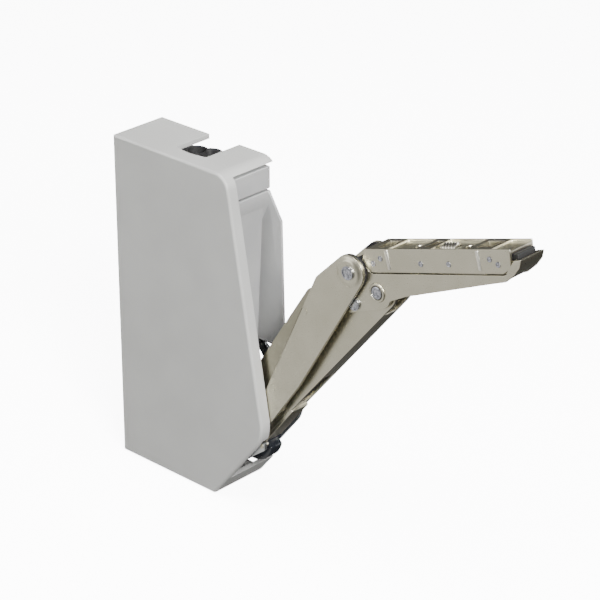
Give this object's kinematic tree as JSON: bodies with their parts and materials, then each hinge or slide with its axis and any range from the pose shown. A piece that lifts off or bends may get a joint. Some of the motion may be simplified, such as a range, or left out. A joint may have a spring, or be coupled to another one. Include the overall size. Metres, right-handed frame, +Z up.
{
  "type": "lid stay",
  "caption": "Lid stay for an upward flap: moulded spring body for the cabinet side, two pivoting arms and a ribbed clip-on bracket for the door.",
  "frame": {"origin": "centre of the four cabinet screw holes, on the face that lies against the cabinet's side panel", "axes": "+X from the cabinet's rear to its front, +Y from the cover towards the side panel, +Z up; stored with the door open"},
  "size_m": [0.2046, 0.028, 0.1536],
  "materials": {
    "cover_grey": "fine moulded texture",
    "cap_grey": "smooth moulded",
    "satin_nickel": "satin nickel plate",
    "bright_nickel": "bright rivet heads",
    "zinc_steel": "bright zinc plate",
    "black_plastic": "smooth moulded",
    "slider_plastic": "self-lubricating moulding",
    "spring_steel": "oiled spring wire",
    "damper_grey": "smooth tube"
  },
  "bodies": {
    "body": {"outer_cover": "cover_grey", "base_plate": "zinc_steel", "inner_cheek": "zinc_steel", "cheek_spacers": "zinc_steel", "base_pin": "bright_nickel", "base_bushes": "slider_plastic", "spring_bridge": "black_plastic", "damper_body": "damper_grey", "top_cap": "cap_grey", "front_insert": "cap_grey", "lifting_springs": "spring_steel", "nose_rivet": "satin_nickel"},
    "lower_arm": {"lower_arm": "satin_nickel", "tail_pin": "bright_nickel", "drive_slider": "slider_plastic", "arm_end_cap": "black_plastic"},
    "carrier": {"carrier_wing": "satin_nickel", "door_bracket": "satin_nickel", "height_worm": "bright_nickel", "wing_pin": "bright_nickel", "stop_rivets": "bright_nickel", "bracket_pins": "bright_nickel", "bracket_latch": "black_plastic"},
    "upper_arm": {"upper_arm_near": "satin_nickel", "upper_arm_far": "satin_nickel", "guide_liner_near": "zinc_steel", "guide_liner_far": "zinc_steel", "liner_rivets": "bright_nickel", "arm_pin": "bright_nickel", "arm_spacers": "black_plastic", "guide_pins": "bright_nickel", "guide_sliders": "slider_plastic"},
    "yoke": {"spring_plate": "zinc_steel", "drive_yoke": "zinc_steel", "pull_rods": "zinc_steel", "rod_nuts": "zinc_steel", "damper_plunger": "bright_nickel"},
    "screw": {"force_screw": "zinc_steel"},
    "seat": {"spring_seat": "zinc_steel"}
  },
  "joints": [
    {"name": "lower_arm_swing", "type": "hinge", "parent": "body", "child": "lower_arm", "pos_m": [0.0345, -0.013, -0.04], "axis": [0, -1, 0], "range_deg": [0, 33]},
    {"name": "carrier_turn", "type": "hinge", "parent": "lower_arm", "child": "carrier", "pos_m": [0.1032, -0.013, 0.0476], "axis": [0, -1, 0], "range_deg": [-140, 0]},
    {"name": "upper_arm_turn", "type": "hinge", "parent": "carrier", "child": "upper_arm", "pos_m": [0.09106, -0.013, 0.05309], "axis": [0, -1, 0], "range_deg": [0, 117]},
    {"name": "yoke_slide", "type": "slide", "parent": "body", "child": "yoke", "axis": [0, 0, -1], "range_m": [0, 0.00909], "deforming": ["lifting_springs"]},
    {"name": "force_screw_turn", "type": "hinge", "parent": "body", "child": "screw", "pos_m": [-0.0005, -0.013, 0.02], "axis": [0, 0, 1], "range_deg": [0, 2160.5]},
    {"name": "seat_rise", "type": "slide", "parent": "body", "child": "seat", "axis": [0, 0, 1], "range_m": [0, 0.006], "deforming": ["lifting_springs"]}
  ],
  "couplings": [
    {"joint": "carrier_turn", "follows": "lower_arm_swing", "ratio": -4.2424},
    {"joint": "upper_arm_turn", "follows": "lower_arm_swing", "ratio": 3.5455},
    {"joint": "yoke_slide", "follows": "lower_arm_swing", "m_per_rad": 0.01578},
    {"joint": "force_screw_turn", "follows": "seat_rise", "rad_per_m": 6283.2}
  ]
}
